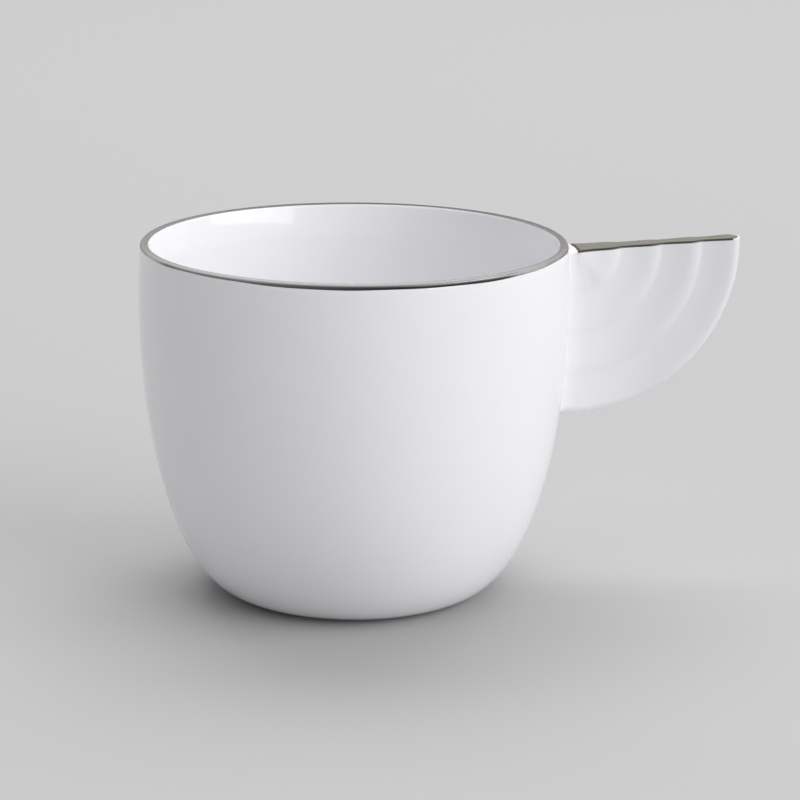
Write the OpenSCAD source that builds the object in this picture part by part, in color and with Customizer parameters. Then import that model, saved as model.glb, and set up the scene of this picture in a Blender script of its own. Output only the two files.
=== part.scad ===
// Bone china teacup with a quarter-disc wing handle and metal lustre bands.
// The cup's axis is Z, the table is at z = 0, and the handle points along +X.

/* [Bowl] */
// Height of the lip above the table
cup_h = 67.4; // [60:0.2:100]
// Radius of the bowl at its widest
belly_r = 40.5; // [34:0.5:60]
// Height of the widest part above the table
belly_z = 55.4; // [30:0.2:62]
// Thickness of the wall
wall = 2.7; // [2:0.1:4]
// Thickness of the floor
floor_t = 2.2; // [1.5:0.1:5]
// Thickness of the lip, which is fully rounded
lip_w = 1.7; // [1.4:0.1:2]
// Height over which the wall thins towards the lip
lip_h = 5.5; // [3:0.5:10]

/* [Foot] */
// Outer radius of the foot ring
foot_r = 22.3; // [16:0.1:32]
// Width of the foot ring
foot_w = 2.2; // [1.2:0.1:5]
// Height of the foot ring below the heel
foot_h = 0.4; // [0.4:0.1:4]
// Radius of the foot ring's worn edges
foot_round = 0.2; // [0.1:0.05:0.35]
// Extra depth of the hollow inside the foot ring
hollow_h = 1.3; // [1:0.1:4]
// Radius in the corner of that hollow
hollow_round = 0.9; // [0.3:0.1:0.9]

/* [Handle] */
// Radius of the quarter disc
handle_r = 32.5; // [20:0.1:48]
// Distance from the widest part of the bowl out to the disc's centre
hub_out = 1.8; // [0.5:0.1:8]
// Depth of the disc's centre below the lip
hub_drop = 2.5; // [2:0.1:12]
// Upward slope of the handle's flat top, in degrees
handle_slope = 2.6; // [0:0.1:4]
// Thickness of the handle at the disc's centre
root_t = 8; // [4.5:0.1:10]
// How quickly that thickness falls off towards the edge, where 1 is a straight taper
flare = 4; // [1:0.5:6]
// Thickness of the handle at its outer edge
edge_t = 3.5; // [2.5:0.1:6]
// Depth of the rounding along the outer edge
edge_round = 1.8; // [1:0.1:4]

/* [Handle rings] */
// Number of lapped rings on each face
ring_n = 4; // [1:1:4]
// Width of one ring
ring_pitch = 8; // [3:0.1:8]
// Height of a ring's crest above the face
ring_relief = 0.55; // [0.1:0.05:0.8]
// How far a crest leans outward, where 1 is the middle of its ring
ring_lean = 2.5; // [1:0.1:3]

/* [Slip joint] */
// Thickness of the slip between handle and wall
slip_t = 0.6; // [0.3:0.05:1.2]
// Width of the bead of slip round the root of the handle
slip_bead = 0.8; // [0.3:0.1:1]

/* [Metal bands] */
// Thickness of the metal bands
band_t = 0.15; // [0.1:0.05:0.25]
// Depth of the lip's band on the outside, below the rounded edge
band_out = 0.1; // [0.1:0.05:1]
// Depth of the lip's band on the inside, below the rounded edge
band_in = 0.1; // [0.1:0.05:1]
// Bare glaze between the lip and the start of the handle's band
band_gap = 2.4; // [2.2:0.1:8]

/* [Hidden] */
$fn = 180;

glaze_colour = "white";
bisque_colour = "linen";
metal_colour = "silver";

// Points along each kind of curve
bowl_steps = 36;
round_steps = 5;
lip_steps = 6;
ring_steps = 8;

// The bowl's outside is a quarter ellipse that starts at the foot ring and passes the widest part
swell = belly_r - foot_r;
heel_z = foot_h;
hollow_r = foot_r - foot_w;
hollow_z = foot_h + hollow_h;
floor_z = hollow_z + floor_t;
well_r = foot_r - wall;
lip_round = lip_w / 2;
band_out_z = cup_h - lip_round - band_out;
band_in_z = cup_h - lip_round - band_in;

hub_x = belly_r + hub_out;
hub_z = cup_h - hub_drop;
wing_core = handle_r - ring_n * ring_pitch;
wing_shoulder = handle_r - edge_round;

// Angle on an ellipse, measured down from its widest point, that lies at height z
function curve_angle(z, low_z) = asin((belly_z - z) / (belly_z - low_z));

// Outline from the low point of an ellipse up to height top_z
function swell_curve(start_r, reach, low_z, top_z) =
    let (last = curve_angle(top_z, low_z))
    [for (i = [0:bowl_steps])
        let (a = 90 + (last - 90) * i / bowl_steps)
        [start_r + reach * cos(a), belly_z - (belly_z - low_z) * sin(a)]];

function outer_curve(grow = 0) = swell_curve(foot_r, swell + grow, heel_z - grow, band_out_z);

// The bowl's inside follows the same kind of curve, then the wall thins towards the lip
function inner_r(z) = well_r + swell * cos(curve_angle(z, floor_z));

function inner_curve() =
    let (thin_z = band_in_z - lip_h)
    concat(
        swell_curve(well_r, swell, floor_z, thin_z),
        [for (i = [1:lip_steps])
            let (u = i / lip_steps, z = thin_z + lip_h * u)
            [inner_r(z) + (wall - lip_w) * pow(u, 1.5), z]]);

function arc(x, y, r, from, to) =
    [for (i = [0:round_steps])
        let (a = from + (to - from) * i / round_steps)
        [x + r * cos(a), y + r * sin(a)]];

function last_of(list) = list[len(list) - 1];
function reversed(list) = [for (i = [len(list) - 1:-1:0]) list[i]];

lip_out_r = last_of(outer_curve())[0];
lip_in_r = last_of(inner_curve())[0];

// The lip's rounded top, from outside to inside, drawn in by inset all round
function lip_curve(inset) =
    concat(
        arc(lip_out_r - lip_round, cup_h - lip_round, lip_round - inset, 0, 90),
        arc(lip_in_r + lip_round, cup_h - lip_round, lip_round - inset, 90, 180));

// The lip under its band, or the band's own outside when inset is zero
function lip_outline(inset) =
    concat(
        [[lip_out_r - inset, band_out_z]],
        lip_curve(inset),
        [[lip_in_r + inset, band_in_z]]);

function hollow_curve() =
    concat(
        [[0, hollow_z]],
        arc(hollow_r - hollow_round, hollow_z - hollow_round, hollow_round, 90, 0),
        [[hollow_r, heel_z]]);

// Half thickness of the handle at distance p from the disc's centre
function wing_taper(p) = edge_t / 2 + (root_t - edge_t) / 2 * pow(1 - p / handle_r, flare);

function ring_crest(p) =
    let (turns = (handle_r - p) / ring_pitch, u = ceil(turns) - turns)
    p < wing_core ? 0 : ring_relief * (1 - pow(2 * pow(u, ring_lean) - 1, 2));

function wing_half(p) = wing_taper(p) + ring_crest(p);

// Distances from the disc's centre at which the face is drawn, from the plain core outward
wing_places = concat(
    [for (i = [0:ring_n * ring_steps])
        let (p = wing_core + i * ring_pitch / ring_steps)
        if (p > 0 && p < wing_shoulder) p],
    [wing_shoulder]);

function wing_face(grow) =
    concat(
        [[0, wing_half(0) + grow]],
        [for (p = wing_places) [p, wing_half(p) + grow]],
        [for (i = [1:round_steps])
            let (a = 90 * i / round_steps)
            [wing_shoulder + (edge_round + grow) * sin(a), (wing_half(wing_shoulder) + grow) * cos(a)]]);

function flipped(points) = [for (p = points) [p[0], -p[1]]];

// Both faces of an outline that ends on its own middle line
function both_faces(face) = concat(face, flipped(reversed([for (i = [0:len(face) - 2]) face[i]])));

// The handle's section from its centre to its edge, also the plan of its flat top
module wing_section() {
    polygon(both_faces(wing_face(0)));
}

// The root of the handle as the wall meets it, with a bead of slip all round
module root_outline() {
    polygon(both_faces(concat([[-slip_bead, wing_half(0) + slip_bead]], wing_face(slip_bead))));
}

// Stands its children at the disc's centre, with X along the handle's sloping top and Y up
module at_hub() {
    translate([hub_x, 0, hub_z]) rotate([90, -handle_slope, 0]) children();
}

// Half a disc under the sloping top
module half_disc() {
    at_hub() rotate([0, 0, -180]) rotate_extrude(angle = 180) wing_section();
}

// Half the bowl's outline from its axis outward, moved outward by grow
module bowl_outline(grow = 0) {
    curve = outer_curve(grow);
    polygon(concat(
        [[0, curve[0][1]]],
        curve,
        [[last_of(curve)[0], cup_h], [0, cup_h]]));
}

// A straight run of the bowl's outline behind the root of the handle, as far out as the slip
module slip_front() {
    translate([0, root_t, 0]) rotate([90, 0, 0]) linear_extrude(2 * root_t) {
        bowl_outline(slip_t);
        mirror([1, 0]) bowl_outline(slip_t);
    }
}

module cup_body() {
    color(glaze_colour)
    rotate_extrude() polygon(concat(
        outer_curve(),
        lip_outline(band_t),
        reversed(inner_curve()),
        [[0, floor_z]],
        hollow_curve()));
}

module foot_ring() {
    color(bisque_colour)
    rotate_extrude() polygon(concat(
        [[hollow_r, heel_z]],
        arc(hollow_r + foot_round, foot_round, foot_round, 180, 270),
        arc(foot_r - foot_round, foot_round, foot_round, 270, 360),
        [[foot_r, heel_z]]));
}

module handle() {
    color(glaze_colour)
    difference() {
        half_disc();
        slip_front();
    }
}

module handle_joint() {
    color(glaze_colour)
    difference() {
        intersection() {
            translate([0, 0, hub_z]) rotate([0, 90, 0]) linear_extrude(hub_x) root_outline();
            slip_front();
        }
        rotate_extrude() bowl_outline();
    }
}

module rim_band() {
    color(metal_colour)
    rotate_extrude() polygon(concat(lip_outline(0), reversed(lip_outline(band_t))));
}

module handle_band() {
    color(metal_colour)
    difference() {
        at_hub() rotate([-90, 0, 0]) linear_extrude(band_t) wing_section();
        cylinder(r = lip_out_r + band_gap, h = cup_h);
    }
}

cup_body();
foot_ring();
handle();
handle_joint();
rim_band();
handle_band();
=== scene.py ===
import math
import bmesh
import bpy
from mathutils import Matrix, Vector


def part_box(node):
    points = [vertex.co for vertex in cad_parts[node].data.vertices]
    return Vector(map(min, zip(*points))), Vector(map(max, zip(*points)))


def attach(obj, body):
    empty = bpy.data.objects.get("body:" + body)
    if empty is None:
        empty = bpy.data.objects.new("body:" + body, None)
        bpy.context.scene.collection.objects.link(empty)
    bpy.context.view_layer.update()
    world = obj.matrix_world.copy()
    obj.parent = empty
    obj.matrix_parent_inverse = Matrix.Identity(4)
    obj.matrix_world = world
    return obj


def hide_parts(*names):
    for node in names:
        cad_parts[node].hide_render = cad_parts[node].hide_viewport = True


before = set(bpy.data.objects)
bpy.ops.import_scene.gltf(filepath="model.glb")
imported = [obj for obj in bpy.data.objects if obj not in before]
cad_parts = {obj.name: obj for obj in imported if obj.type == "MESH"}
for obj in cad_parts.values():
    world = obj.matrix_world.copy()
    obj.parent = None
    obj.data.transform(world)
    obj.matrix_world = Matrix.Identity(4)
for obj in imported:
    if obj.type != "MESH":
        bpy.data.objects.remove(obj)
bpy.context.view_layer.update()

# Sizes in millimetres, the same as the solids have
MM = 0.001
rim_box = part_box("rim_band")
body_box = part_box("cup_body")
foot_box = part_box("foot_ring")
cup_h = rim_box[1].z / MM
belly_r = body_box[1].x / MM
foot_r = foot_box[1].x / MM
heel_z = foot_box[1].z / MM
belly_z = 55.4
wall = 2.7
floor_t = 2.2
lip_w = 1.7
lip_h = 5.5
lip_ease = 1.5
foot_w = 2.2
foot_round = 0.2
hollow_h = 1.3
hollow_round = 0.9
handle_r = 32.5
hub_out = 1.8
hub_drop = 2.5
handle_slope = math.radians(2.6)
root_t = 8.0
flare = 4
edge_t = 3.5
edge_round = 1.8
ring_n = 4
ring_pitch = 8.0
ring_relief = 0.55
ring_lean = 2.5
band_out = 0.1
band_in = 0.1
band_gap = 2.4

# Places that follow from the sizes
swell = belly_r - foot_r
hollow_r = foot_r - foot_w
hollow_z = heel_z + hollow_h
floor_z = hollow_z + floor_t
well_r = foot_r - wall
lip_round = lip_w / 2
band_out_z = cup_h - lip_round - band_out
band_in_z = cup_h - lip_round - band_in
hub_x = belly_r + hub_out
hub_z = cup_h - hub_drop
wing_core = handle_r - ring_n * ring_pitch
wing_shoulder = handle_r - edge_round

# How far the glaze softens a ring's groove, and rounds the long edges of the handle's flat top
glaze_blur = 0.35
top_round = 0.3
# The glaze fills the rings more and more between these angles under the flat top, down to this share
fade_from = math.radians(48)
fade_to = math.radians(75)
faded_share = 0.3
# The handle and the slip fillet run this far into the wall
embed = 0.9
# The lustre stands this far above the glaze
film = 0.03

# Mesh density
lathe_turns = 256
curve_steps = 72
round_steps = 8
foot_steps = 5
lip_steps = 24
thin_steps = 24
wing_columns = 150
wing_rows = 96
wing_top_rows = 8
# The handle's columns crowd towards its rim, as a sine to this power
column_ease = 0.9

# Points closer than this are one, in metres, and edges that turn more than this are sharp
weld = 1e-4 * MM
sharp_edge = math.radians(50)


# Helpers

halvings = 40


def ramp(value, start, end):
    """Rises smoothly from 0 at start to 1 at end."""
    t = min(1.0, max(0.0, (value - start) / (end - start)))
    return t * t * (3 - 2 * t)


def solve(reach, low, high):
    """The value between low and high at which reach, which rises, passes zero."""
    for _ in range(halvings):
        middle = (low + high) / 2
        if reach(middle) > 0:
            high = middle
        else:
            low = middle
    return (low + high) / 2


def arc(x, y, r, start, end, steps=round_steps):
    turns = [math.radians(start + (end - start) * i / steps) for i in range(steps + 1)]
    return [(x + r * math.cos(a), y + r * math.sin(a)) for a in turns]


# Outline of the bowl

def ellipse_r(z, start_r, low_z):
    """Radius at height z of the quarter ellipse that starts level at start_r, low_z."""
    s = (belly_z - z) / (belly_z - low_z)
    return start_r + swell * math.sqrt(max(0.0, 1 - s * s))


def outer_r(z):
    return ellipse_r(min(z, band_out_z), foot_r, heel_z)


def swell_curve(start_r, low_z, top_z):
    """Outline from the low point of the ellipse up to height top_z."""
    last = math.asin((belly_z - top_z) / (belly_z - low_z))
    points = []
    for i in range(curve_steps + 1):
        a = math.pi / 2 + (last - math.pi / 2) * i / curve_steps
        points.append((start_r + swell * math.cos(a), belly_z - (belly_z - low_z) * math.sin(a)))
    return points


def inner_r(z):
    thinned = max(0.0, 1 - (band_in_z - z) / lip_h) ** lip_ease
    return ellipse_r(z, well_r, floor_z) + (wall - lip_w) * thinned


def inner_curve():
    """Inside of the bowl, from the floor up through the thinning towards the lip."""
    start = band_in_z - lip_h
    steps = [start + lip_h * (i + 1) / thin_steps for i in range(thin_steps)]
    return swell_curve(well_r, floor_z, start) + [(inner_r(z), z) for z in steps]


lip_out_r = outer_r(band_out_z)
lip_in_r = inner_r(band_in_z)


def lip_place(turn, inset):
    """A point of the lip: turn is 0 degrees where the rounding starts outside, 90 on top and 180 inside."""
    centre_z = cup_h - lip_round
    if turn < 0:
        z = centre_z + lip_round * math.radians(turn)
        return outer_r(z) - inset, z
    centre_r = lip_out_r - lip_round if turn <= 90 else lip_in_r + lip_round
    a = math.radians(turn)
    return centre_r + (lip_round - inset) * math.cos(a), centre_z + (lip_round - inset) * math.sin(a)


def lip_turn(z):
    """The turn at which the outside of the lip is at height z."""
    share = (z - cup_h + lip_round) / lip_round
    return math.degrees(share if share < 0 else math.asin(share))


# Section of the handle

def crest(p):
    """Height of the rings at distance p from the disc's centre."""
    if p < wing_core or p >= handle_r:
        return 0.0
    turns = (handle_r - p) / ring_pitch
    u = math.ceil(turns) - turns
    return ring_relief * (1 - (2 * u ** ring_lean - 1) ** 2)


def soft_crest(p):
    """The crest as the glaze leaves it, with its grooves filled a little."""
    offsets = [-1, -0.5, 0, 0.5, 1]
    weights = [1, 2, 3, 2, 1]
    return sum(w * crest(p + o * glaze_blur) for o, w in zip(offsets, weights)) / sum(weights)


def ring_share(angle):
    """Share of the rings' height left at this angle under the flat top."""
    return 1 - (1 - faded_share) * ramp(angle, fade_from, fade_to)


def wing_flat(p, angle=0.0):
    taper = edge_t / 2 + (root_t - edge_t) / 2 * (1 - p / handle_r) ** flare
    return taper + soft_crest(p) * ring_share(angle)


def wing_half(p, angle=0.0):
    """Half thickness of the handle at distance p from the disc's centre."""
    if p <= wing_shoulder:
        return wing_flat(p, angle)
    s = min(1.0, (p - wing_shoulder) / edge_round)
    return wing_flat(wing_shoulder, angle) * math.sqrt(1 - s * s)


def top_share(depth):
    """Share of the half thickness left at this depth under the flat top, inside its rounded edge."""
    if depth >= top_round:
        return 1.0
    s = 1 - max(0.0, depth) / top_round
    return 1 - 2 * top_round / root_t * (1 - math.sqrt(1 - s * s))


def wing_place(along, depth):
    """x and z of a point of the handle, along its sloping top and down from it."""
    c, s = math.cos(handle_slope), math.sin(handle_slope)
    return hub_x + along * c + depth * s, hub_z + along * s - depth * c


def wing_point(p, angle):
    """A point of the handle's near face, with angle 0 along the top and 90 degrees down."""
    depth = p * math.sin(angle)
    x, z = wing_place(p * math.cos(angle), depth)
    return x, -wing_half(p, angle) * top_share(depth), z


def depth_angle(depth, p):
    """Angle at which the circle of radius p is this deep, or a right angle if the circle is too small."""
    return math.pi / 2 if p <= depth else math.asin(depth / p)


def wall_angle(p, out):
    """Angle at which the circle of radius p on the face meets the bowl, grown by out."""
    def reach(angle):
        x, y, z = wing_point(p, angle)
        return outer_r(z) + out - math.hypot(x, y)
    return math.pi if reach(math.pi) < 0 else solve(reach, 0.0, math.pi)


# Building meshes

def add_object(name, data):
    thing = bpy.data.objects.new(name, data)
    bpy.context.scene.collection.objects.link(thing)
    return thing


def finish_mesh(name, vertices, faces, material, shares=None):
    """A smooth closed object from points in millimetres. shares holds lists of one number a point."""
    mesh = bpy.data.meshes.new(name)
    mesh.from_pydata([Vector(v) * MM for v in vertices], [], faces)
    for share, values in (shares or {}).items():
        layer = mesh.attributes.new(share, "FLOAT", "POINT")
        layer.data.foreach_set("value", values)
    bm = bmesh.new()
    bm.from_mesh(mesh)
    bmesh.ops.remove_doubles(bm, verts=bm.verts, dist=weld)
    bmesh.ops.dissolve_degenerate(bm, edges=bm.edges, dist=weld)
    bmesh.ops.recalc_face_normals(bm, faces=bm.faces)
    for face in bm.faces:
        face.smooth = True
    for edge in bm.edges:
        edge.smooth = edge.calc_face_angle(0.0) < sharp_edge
    bm.to_mesh(mesh)
    bm.free()
    mesh.materials.append(material)
    return add_object(name, mesh)


def place_piece(piece, nodes):
    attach(piece, "root")
    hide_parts(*nodes)


def tube_faces(count, size, closed=True):
    """Faces from each row of points to the next, and from the last to the first. Closed rows are rings."""
    faces = []
    for i in range(count):
        a, b = i * size, (i + 1) % count * size
        for j in range(size if closed else size - 1):
            k = (j + 1) % size
            faces.append((a + j, b + j, b + k, a + k))
    return faces


def lathe(profile):
    """Points and faces of a profile of (radius, height) turned about Z.

    A profile that closes on itself repeats its first point.
    """
    vertices = []
    for i in range(lathe_turns):
        a = 2 * math.pi * i / lathe_turns
        vertices += [(r * math.cos(a), r * math.sin(a), z) for r, z in profile]
    return vertices, tube_faces(lathe_turns, len(profile), closed=False)


def grid_faces(rows, columns, start=0, flip=False):
    """Faces of a sheet of points that starts at point number start."""
    faces = []
    for i in range(rows - 1):
        for j in range(columns - 1):
            a = start + i * columns + j
            quad = (a, a + 1, a + columns + 1, a + columns)
            faces.append(quad[::-1] if flip else quad)
    return faces


# Materials

def new_material(name):
    material = bpy.data.materials.new(name)
    material.use_nodes = True
    tree = material.node_tree
    shader = tree.nodes["Principled BSDF"]
    coords = tree.nodes.new("ShaderNodeTexCoord").outputs["Object"]
    return material, tree, shader, coords


def noise(tree, vector, scale, detail=2.0, rough=0.5):
    node = tree.nodes.new("ShaderNodeTexNoise")
    node.inputs["Scale"].default_value = scale
    node.inputs["Detail"].default_value = detail
    node.inputs["Roughness"].default_value = rough
    tree.links.new(vector, node.inputs["Vector"])
    return node.outputs["Fac"]


def remap(tree, value, low, high, start=0.3, end=0.7):
    node = tree.nodes.new("ShaderNodeMapRange")
    node.inputs["From Min"].default_value = start
    node.inputs["From Max"].default_value = end
    node.inputs["To Min"].default_value = low
    node.inputs["To Max"].default_value = high
    tree.links.new(value, node.inputs["Value"])
    return node.outputs["Result"]


def mix_colours(tree, share, first, second):
    node = tree.nodes.new("ShaderNodeMix")
    node.data_type = "RGBA"
    for socket, value in (("A", first), ("B", second)):
        target = [s for s in node.inputs if s.name == socket and s.type == "RGBA"][0]
        if isinstance(value, tuple):
            target.default_value = (*value, 1)
        else:
            tree.links.new(value, target)
    tree.links.new(share, node.inputs["Factor"])
    return [s for s in node.outputs if s.type == "RGBA"][0]


def math_node(tree, operation, first, second):
    """The result of an operation on a socket and a second socket or a number."""
    node = tree.nodes.new("ShaderNodeMath")
    node.operation = operation
    tree.links.new(first, node.inputs[0])
    if isinstance(second, (int, float)):
        node.inputs[1].default_value = second
    else:
        tree.links.new(second, node.inputs[1])
    return node.outputs[0]


def vector_length(tree, vector):
    node = tree.nodes.new("ShaderNodeVectorMath")
    node.operation = "LENGTH"
    tree.links.new(vector, node.inputs[0])
    return node.outputs["Value"]


def bump(tree, shader, height, strength, distance):
    node = tree.nodes.new("ShaderNodeBump")
    node.inputs["Strength"].default_value = strength
    node.inputs["Distance"].default_value = distance
    tree.links.new(height, node.inputs["Height"])
    tree.links.new(node.outputs["Normal"], shader.inputs["Normal"])


# Whites of the glaze where it is thick and thin, and the handle's white with painted shade
thick_white = (0.879, 0.879, 0.902)
thin_white = (0.896, 0.895, 0.914)
wing_shade_white = (0.792, 0.791, 0.817)
# The handle turns to its painted shade between these distances out from the belly
wing_shade_from = 4
wing_shade_to = 18

# The foot's bare china between and on its grains, and where it is stained
grain_dark = (0.74, 0.72, 0.68)
grain_pale = (0.84, 0.825, 0.79)
foot_stain = (0.6, 0.575, 0.53)

# How fine the lustre's brush marks are along a radian of the lip, along a metre of the handle, and across
marks_round = 9
marks_straight = 240
marks_across = 2600


def glazed_china():
    material, tree, shader, coords = new_material("glazed_china")
    # Thickness of the glaze shifts the white very slightly over the bowl
    cloud = noise(tree, coords, scale=28, detail=3)
    white = mix_colours(tree, remap(tree, cloud, 0, 1), thick_white, thin_white)
    # The handle is painted a little greyer than the bowl further out from the belly, as painted shade
    level = tree.nodes.new("ShaderNodeVectorMath")
    level.operation = "MULTIPLY"
    level.inputs[1].default_value = (1, 1, 0)
    tree.links.new(coords, level.inputs[0])
    start, end = (belly_r + wing_shade_from) * MM, (belly_r + wing_shade_to) * MM
    handle_shade = remap(tree, vector_length(tree, level.outputs[0]), 0, 1, start, end)
    tree.links.new(mix_colours(tree, handle_shade, white, wing_shade_white), shader.inputs["Base Color"])
    gloss = remap(tree, noise(tree, coords, scale=160), low=0.06, high=0.1)
    tree.links.new(gloss, shader.inputs["Roughness"])
    shader.inputs["IOR"].default_value = 1.5
    # Faint ripple of a dipped glaze
    bump(tree, shader, noise(tree, coords, scale=420, detail=1), strength=0.05, distance=0.0001)
    return material


def bare_china():
    material, tree, shader, coords = new_material("bare_china")
    grain = noise(tree, coords, scale=2600, detail=4, rough=0.7)
    stain = noise(tree, coords, scale=190, detail=3)
    clean = mix_colours(tree, remap(tree, grain, 0, 1), grain_dark, grain_pale)
    stained = remap(tree, stain, low=0, high=0.6, start=0.5, end=0.75)
    tree.links.new(mix_colours(tree, stained, clean, foot_stain), shader.inputs["Base Color"])
    shader.inputs["Roughness"].default_value = 0.85
    bump(tree, shader, grain, strength=0.5, distance=0.00008)
    return material


def streaks(tree, coords, along):
    """Brush marks of the lustre, round the lip or straight along the handle."""
    split = tree.nodes.new("ShaderNodeSeparateXYZ")
    tree.links.new(coords, split.inputs["Vector"])
    x, y, z = (split.outputs[n] for n in "XYZ")
    if along == "round":
        run, across, number = math_node(tree, "ARCTAN2", y, x), vector_length(tree, coords), marks_round
    else:
        run, across, number = x, y, marks_straight
    join = tree.nodes.new("ShaderNodeCombineXYZ")
    for value, scale, socket in ((run, number, "X"), (across, marks_across, "Y"), (z, marks_across, "Z")):
        tree.links.new(math_node(tree, "MULTIPLY", value, scale), join.inputs[socket])
    return noise(tree, join.outputs["Vector"], scale=1, detail=3, rough=0.6)


def mesh_share(tree, name):
    node = tree.nodes.new("ShaderNodeAttribute")
    node.attribute_name = name
    return node.outputs["Fac"]


def metal_lustre(name, along, dull, clear, painted_dark, pale):
    """Lustre of a colour between dull and clear, painted dark or pale where the mesh says so, mostly as
    painted reflections of dark and bright surroundings.
    """
    material, tree, shader, coords = new_material(name)
    marks = streaks(tree, coords, along)
    bright = mix_colours(tree, remap(tree, marks, 0, 1), dull, clear)
    # Painted reflection: paler where the mesh's pale share says, darker where its dark share says
    paler = mix_colours(tree, mesh_share(tree, "pale_reflection_share"), bright, pale)
    colour = mix_colours(tree, mesh_share(tree, "painted_dark_share"), paler, painted_dark)
    tree.links.new(colour, shader.inputs["Base Color"])
    shader.inputs["Metallic"].default_value = 1.0
    shader.inputs["Specular Tint"].default_value = (0.6, 0.58, 0.55, 1)
    tree.links.new(remap(tree, marks, low=0.2, high=0.3), shader.inputs["Roughness"])
    bump(tree, shader, marks, strength=0.06, distance=0.00003)
    return material


glaze = glazed_china()
bisque = bare_china()
# The darkest colour of each lustre is its painted dark reflection, and the palest its painted bright
# reflection
rim_metal = metal_lustre("rim_lustre", "round", dull=(0.59, 0.58, 0.578), clear=(0.71, 0.697, 0.695),
                         painted_dark=(0.03, 0.026, 0.026), pale=(0.93, 0.91, 0.89))
wing_metal = metal_lustre("wing_lustre", "straight", dull=(0.55, 0.54, 0.475), clear=(0.66, 0.65, 0.565),
                          painted_dark=(0.08, 0.075, 0.075), pale=(0.8, 0.79, 0.7))


# The bowl

def make_bowl():
    hollow = [(0, hollow_z)]
    hollow += arc(hollow_r - hollow_round, hollow_z - hollow_round, hollow_round, 90, 0)
    hollow += [(hollow_r, heel_z)]
    outside = swell_curve(foot_r, heel_z, band_out_z)
    lip = [lip_place(180 * i / lip_steps, film) for i in range(lip_steps + 1)]
    profile = hollow + outside + lip + inner_curve()[::-1] + [(0, floor_z)]
    return finish_mesh("bowl", *lathe(profile), glaze)


bowl = make_bowl()
place_piece(bowl, ["cup_body"])


# The foot ring, bare of glaze

def make_foot():
    sink = foot_round
    profile = arc(hollow_r + foot_round, foot_round, foot_round, 180, 270, foot_steps)
    profile += arc(foot_r - foot_round, foot_round, foot_round, 270, 360, foot_steps)
    profile += [(foot_r, heel_z), (foot_r - sink, heel_z + sink), (hollow_r + sink, heel_z + sink)]
    profile += [(hollow_r, heel_z), profile[0]]
    return finish_mesh("standing_ring", *lathe(profile), bisque)


foot = make_foot()
place_piece(foot, ["foot_ring"])


# The handle

def make_wing():
    near, columns, rows = [], wing_columns + 1, wing_rows + 1
    for i in range(columns):
        p = handle_r * math.sin(math.pi / 2 * i / wing_columns) ** column_ease
        first, last = depth_angle(top_round, p), wall_angle(p, -embed)
        for j in range(rows):
            if j <= wing_top_rows:
                angle = depth_angle(top_round * (1 - math.cos(math.pi / 2 * j / wing_top_rows)), p)
            else:
                angle = first + (last - first) * (j - wing_top_rows) / (wing_rows - wing_top_rows)
            near.append(wing_point(p, min(angle, last)))
    far = [(x, -y, z) for x, y, z in near]
    faces = grid_faces(columns, rows) + grid_faces(columns, rows, len(near), True)
    for j in (0, wing_rows):
        for i in range(wing_columns):
            a, b = i * rows + j, (i + 1) * rows + j
            faces.append((a, b, b + len(near), a + len(near)))
    return finish_mesh("wing_handle", near + far, faces, glaze)


wing = make_wing()
place_piece(wing, ["handle"])


# The slip joint, a hollow fillet round the root of the handle

# How far it stands off the handle and how far it reaches out from the wall, which are one at the bottom
fillet_side = 1.9
fillet_side_reach = 4.2
fillet_top = 1.3
fillet_top_reach = 2.0
fillet_bottom = 0.7
# The sides gain their full reach over this height, down from the disc's centre
fillet_ease = 11.0
fillet_steps = 20
edge_steps = 12
side_steps = 72
top_steps = 16
# The side's points crowd towards the top, as a cosine to this power
side_ease = 1.5
# The bottom of the root is measured along the disc's radius from here out, and the sides by depth
root_turn = wing_shoulder - edge_round / 2


def on_side(depth, out):
    """Where the near face, at this depth, meets the bowl grown by out."""
    def place(along):
        x, z = wing_place(along, depth)
        half = wing_half(math.hypot(along, depth), math.atan2(depth, along))
        return x, -half * top_share(depth), z

    def reach(along):
        x, y, z = place(along)
        return math.hypot(x, y) - outer_r(z) - out
    return place(solve(reach, -handle_r / 2, handle_r / 2))


def on_top(y, out):
    """Where the flat top, this far aside, meets the bowl grown by out."""
    def reach(along):
        x, z = wing_place(along, 0)
        return math.hypot(x, y) - outer_r(z) - out
    x, z = wing_place(solve(reach, -handle_r / 2, handle_r / 2), 0)
    return x, y, z


def root_point(i, out):
    """Point i of the near half of the root, from the middle of its underside to the middle of its top."""
    if i < edge_steps:
        p = root_turn + (handle_r - root_turn) * math.cos(math.pi / 2 * i / edge_steps)
        return wing_point(p, wall_angle(p, out))
    i -= edge_steps
    if i <= side_steps:
        deepest = root_turn * math.sin(wall_angle(root_turn, out))
        return on_side(deepest * math.cos(math.pi / 2 * i / side_steps) ** side_ease, out)
    i -= side_steps
    return on_top(on_side(0, out)[1] * math.cos(math.pi / 2 * i / top_steps), out)


def root_normal(i, last):
    """Direction in Y and Z away from the handle, across the root at point i."""
    before, after = root_point(max(i - 1, 0), 0), root_point(min(i + 1, last), 0)
    across = Vector((after[2] - before[2], before[1] - after[1]))
    if i == 0:
        across = Vector((0, -1))
    if i == last:
        across = Vector((0, 1))
    if across.x > 0:
        across = -across
    return across.normalized()


def fillet_point(i, normal, out, aside):
    """A point this far out from the wall and this far off the handle, at point i of the root."""
    _, y, z = root_point(i, out)
    y, z = y + normal.x * aside, z + normal.y * aside
    return math.sqrt((outer_r(z) + out) ** 2 - y * y), y, z


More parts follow.
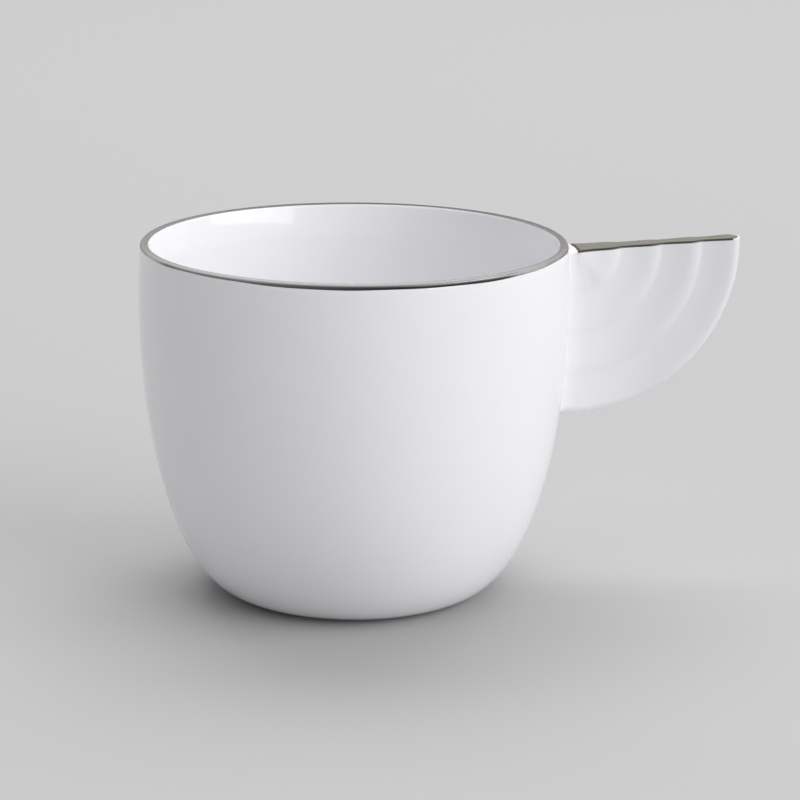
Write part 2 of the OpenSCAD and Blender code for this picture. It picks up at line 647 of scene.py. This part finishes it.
def make_joint():
    last = edge_steps + side_steps + top_steps
    sink = embed / 2
    near = []
    for i in range(last + 1):
        normal = root_normal(i, last)
        up, down = max(0.0, normal.y) ** 2, max(0.0, -normal.y) ** 2
        aside = fillet_side + (fillet_top - fillet_side) * up + (fillet_bottom - fillet_side) * down
        eased = ramp(hub_z - root_point(i, 0)[2], 0, fillet_ease)
        reach = fillet_top_reach + (fillet_side_reach - fillet_top_reach) * eased * (1 - up)
        reach += (fillet_bottom - reach) * down
        ring = []
        for k in range(fillet_steps + 1):
            a = math.pi / 2 * ramp(k / fillet_steps, 0, 1)
            ring.append(fillet_point(i, normal, reach * (1 - math.cos(a)), aside * (1 - math.sin(a))))
        for out, off in ((reach - sink, -sink), (-sink, -sink), (-sink, aside - sink)):
            ring.append(fillet_point(i, normal, out, off))
        near.append(ring)
    far = [[(x, -y, z) for x, y, z in ring] for ring in near[last - 1:0:-1]]
    rings = near + far
    vertices = [point for ring in rings for point in ring]
    return finish_mesh("slip_fillet", vertices, tube_faces(len(rings), len(rings[0])), glaze)


joint = make_joint()
place_piece(joint, ["handle_joint"])


# The lustre on the lip, put on by hand, so its edges wander

# Its outer edge is this much higher than the solid band's on the whole, and wanders by about this much
band_lift = 0.16
wander = 0.24
# The waves of that edge, each with its share of the wander, its number round the lip and its phase
edge_waves = ((1, 2, 1.33), (0.27, 7, -0.81), (0.1, 19, 0))
# It ends inside the lip at this turn, further in at the sides, and wanders in this many waves
lustre_end = 137
end_swing = 7
end_wander = 3
end_waves = 5
# Under the rounding it stands half a film off the wall, in full from this turn down
lift_turn = 3
# Its underside lies this far inside the lip's outline
rim_sink = 3 * film
rim_steps = 24

# The outer edge is painted dark, a painted reflection of dark surroundings, most in this direction
dark_side = math.radians(-106)
# The dark grows from this share to all of it as nearness goes from dark_start to dark_full
dark_least = 0.15
dark_start = 0.76
dark_full = 0.83
# It starts at this depth under the top and deepens over this much more
dark_from = 0.07
dark_over = 0.53
# It dips by this share, in this many waves round the lip
dark_dips = 0.1
dip_waves = 3
dip_phase = -0.8
# The inner half has a painted dark reflection too, most on the far side, and it grows between these turns
dark_inside = 0.5
inside_ease = 1.5
inside_from = 60
inside_to = 85
# On the near side its top is painted pale, a painted reflection, more and more between these turns
pale_from = 20
pale_to = 75


def wave(a):
    return sum(share * math.sin(number * a + phase) for share, number, phase in edge_waves)


def nearness(a):
    """1 in the direction where the painted dark reflection is darkest, and 0 on the far side."""
    return 0.5 + 0.5 * math.cos(a - dark_side)


def rim_dark(a, turn, z):
    """How dark the lustre's painted reflection is in direction a, at this turn and height."""
    outside = dark_least + (1 - dark_least) * ramp(nearness(a), dark_start, dark_full)
    outside *= 1 - dark_dips + dark_dips * math.sin(dip_waves * a + dip_phase)
    outside *= ramp(cup_h - z, dark_from, dark_from + dark_over)
    inside = dark_inside * (1 - nearness(a)) ** inside_ease * ramp(turn, inside_from, inside_to)
    return max(outside, inside) if turn < 90 else inside


def rim_pale(a, turn):
    """How pale its top is painted, as a painted reflection, on the near side."""
    return nearness(a) * ramp(turn, pale_from, pale_to)


def make_rim():
    vertices, painted_dark, pale = [], [], []
    for i in range(lathe_turns):
        a = 2 * math.pi * i / lathe_turns
        first = lip_turn(band_out_z + band_lift + wander * wave(a))
        last = lustre_end - end_swing * math.cos(2 * (a - dark_side)) + end_wander * math.sin(end_waves * a)
        turns = [first + (last - first) * j / rim_steps for j in range(rim_steps + 1)]
        section = [(turn, -film / 2 * ramp(-turn, 0, lift_turn)) for turn in turns]
        section += [(turn, rim_sink) for turn in turns[::-1]]
        for turn, inset in section:
            r, z = lip_place(turn, inset)
            vertices.append((r * math.cos(a), r * math.sin(a), z))
            painted_dark.append(rim_dark(a, turn, z))
            pale.append(rim_pale(a, turn))
    faces = tube_faces(lathe_turns, len(section))
    shares = {"painted_dark_share": painted_dark, "pale_reflection_share": pale}
    return finish_mesh("lip_lustre", vertices, faces, rim_metal, shares)


rim = make_rim()
place_piece(rim, ["rim_band"])


# The lustre on the handle's flat top, which laps over its long edges

lap = 0.22
lap_steps = 4
flat_steps = 16
band_columns = 120
# Its columns crowd towards both ends, as a sine to this power
band_ease = 1.6
# Its underside lies this far inside the handle's outline
band_sink = 2 * film
# It ends this far short of the tip, and starts to round off this far before the handle's own rounding
tip_gap = 0.45
turn_gap = 0.3
band_end = handle_r - tip_gap
band_turn = wing_shoulder - turn_gap
# The near end of its start lies this much further in
early_near = 0.25
# The painted dark reflection along the near edge reaches this share of the half width onto the flat top
dark_reach = 0.4
# Its start is painted dark too, in full as far as start_dark and not at all from start_clear on
start_dark = 0.2
start_clear = 0.8


def band_share(p):
    """Share of the flat top's width that the lustre covers, which rounds off at the tip."""
    if p < band_turn:
        return 1.0
    s = min(1.0, (p - band_turn) / (band_end - band_turn))
    return math.sqrt(1 - s * s)


def band_point(u, k, lift):
    """A point of the lustre, how dark it is painted and its distance from the start.

    u runs from the start to the tip and k across, with the laps past -1 and 1.
    """
    side, depth = max(-1.0, min(1.0, k)), lap * max(0.0, abs(k) - 1)
    first_half = wing_half(0) * top_share(0)
    start_x = math.sqrt((lip_out_r + band_gap) ** 2 - (side * first_half) ** 2)
    start = (start_x - hub_x) / math.cos(handle_slope) - early_near * (1 - side) / 2
    p = start + (band_end - start) * u
    share = band_share(p)
    over = top_share(depth) - top_share(0)
    turn = math.pi / 2 * min(1.0, depth / top_round) * share
    y = (side * wing_flat(p) * top_share(0) + math.copysign(wing_flat(p) * over, k)) * share
    x, z = wing_place(p, depth * share)
    y += math.copysign(lift * math.sin(turn), k)
    dark = 1 - ramp(k, -1, dark_reach - 1) if side == k else 1.0
    return x, y, z + lift * math.cos(turn), dark, p - start


def make_wing_band():
    across = [-2 + i / lap_steps for i in range(lap_steps)]
    across += [-1 + 2 * i / flat_steps for i in range(flat_steps + 1)]
    across += [1 + (i + 1) / lap_steps for i in range(lap_steps)]
    vertices, painted_dark = [], []
    for lift in (film, -band_sink):
        for i in range(band_columns + 1):
            u = math.sin(math.pi / 2 * i / band_columns) ** band_ease
            for k in across:
                x, y, z, dark, run = band_point(u, k, lift)
                vertices.append((x, y, z))
                painted_dark.append(max(dark, 1 - ramp(run, start_dark, start_clear)))
    rows, size = band_columns + 1, len(across)
    half = rows * size
    faces = grid_faces(rows, size) + grid_faces(rows, size, half, True)
    border = list(range(size)) + [i * size + size - 1 for i in range(1, rows)]
    border += [(rows - 1) * size + j for j in range(size - 2, -1, -1)]
    border += [i * size for i in range(rows - 2, 0, -1)]
    for a, b in zip(border, border[1:] + border[:1]):
        faces.append((a, b, b + half, a + half))
    shares = {"painted_dark_share": painted_dark, "pale_reflection_share": [0.0] * len(painted_dark)}
    return finish_mesh("wing_lustre", vertices, faces, wing_metal, shares)


wing_band = make_wing_band()
place_piece(wing_band, ["handle_band"])


# Studio

# Colours of the world and the floor, as light on the pieces and as the camera and the glaze see them
world_light = (0.29, 0.29, 0.293)
world_look = (0.67, 0.67, 0.68)
floor_light = (0.56, 0.56, 0.56)
floor_look = (0.49, 0.49, 0.495)
# Distance of each lamp from the cup, in metres
lamp_distance = 3.0


def aim(thing, place, back, roll=0.0):
    """Puts a camera or lamp at place, with its back in this direction."""
    turn = (-back).to_track_quat("-Z", "Y").to_matrix().to_4x4() @ Matrix.Rotation(roll, 4, "Z")
    thing.matrix_world = Matrix.Translation(place) @ turn


def photo_camera():
    """The photograph's camera as fitted to the outline. Angles are in degrees, distances in millimetres."""
    azimuth, elevation, roll = math.radians(-9.56), math.radians(14.62), math.radians(0.46)
    distance, aside, height = 495.2, 8.77, 36.47
    focal_pixels, photo_width, sensor = 2600, 800, 36
    right = Vector((math.cos(azimuth), math.sin(azimuth), 0))
    level = math.cos(elevation)
    back = Vector((math.sin(azimuth) * level, -math.cos(azimuth) * level, math.sin(elevation)))
    data = bpy.data.cameras.new("camera")
    data.sensor_width = sensor
    data.lens = focal_pixels * sensor / photo_width
    camera = add_object("camera", data)
    aim(camera, (right * aside + Vector((0, 0, height)) + back * distance) * MM, back, roll)
    bpy.context.scene.camera = camera
    return right, back


view_right, view_back = photo_camera()


def soft_lamp(name, turn, lift, size, power, mirrored=True):
    """A lamp aimed at the cup, this many degrees to the right of the camera and above the table."""
    level = Vector((view_back.x, view_back.y, 0)).normalized()
    a, e = math.radians(turn), math.radians(lift)
    towards = (level * math.cos(a) + view_right * math.sin(a)) * math.cos(e) + Vector((0, 0, math.sin(e)))
    data = bpy.data.lights.new(name, "AREA")
    data.shape = "RECTANGLE"
    data.size, data.size_y = size
    data.energy = power
    lamp = add_object(name, data)
    aim(lamp, Vector((0, 0, cup_h / 2 * MM)) + towards * lamp_distance, towards)
    lamp.visible_glossy = mirrored


soft_lamp("window", turn=65, lift=25, size=(3.2, 2.2), power=62)
soft_lamp("ceiling", turn=0, lift=88, size=(4, 4), power=36, mirrored=False)
soft_lamp("back", turn=180, lift=60, size=(3.2, 2.2), power=60, mirrored=False)


def seen_share(tree):
    """1 for what the camera sees directly or in the glaze, 0 for the light that falls on the pieces."""
    path = tree.nodes.new("ShaderNodeLightPath").outputs
    return math_node(tree, "MAXIMUM", path["Is Camera Ray"], path["Is Glossy Ray"])


def studio_world():
    world = bpy.data.worlds.new("studio")
    world.use_nodes = True
    bpy.context.scene.world = world
    tree = world.node_tree
    colour = mix_colours(tree, seen_share(tree), world_light, world_look)
    tree.links.new(colour, tree.nodes["Background"].inputs["Color"])


studio_world()


def studio_floor():
    """A round floor, with its reach in metres."""
    reach, rings, turns = 40.0, 12, 64
    vertices, faces = [(0, 0, 0)], []
    for i in range(1, rings + 1):
        r = reach * (i / rings) ** 2
        for j in range(turns):
            a = 2 * math.pi * j / turns
            vertices.append((r * math.cos(a), r * math.sin(a), 0))
    for j in range(turns):
        faces.append((0, 1 + j, 1 + (j + 1) % turns))
    for i in range(rings - 1):
        for j in range(turns):
            a, b = 1 + i * turns + j, 1 + i * turns + (j + 1) % turns
            faces.append((a, a + turns, b + turns, b))
    mesh = bpy.data.meshes.new("floor")
    mesh.from_pydata(vertices, [], faces)
    material, tree, shader, _ = new_material("floor_paint")
    colour = mix_colours(tree, seen_share(tree), floor_light, floor_look)
    tree.links.new(colour, shader.inputs["Base Color"])
    shader.inputs["Roughness"].default_value = 0.9
    shader.inputs["Specular IOR Level"].default_value = 0.2
    mesh.materials.append(material)
    add_object("floor", mesh)


studio_floor()

bpy.context.scene.view_settings.view_transform = "Standard"
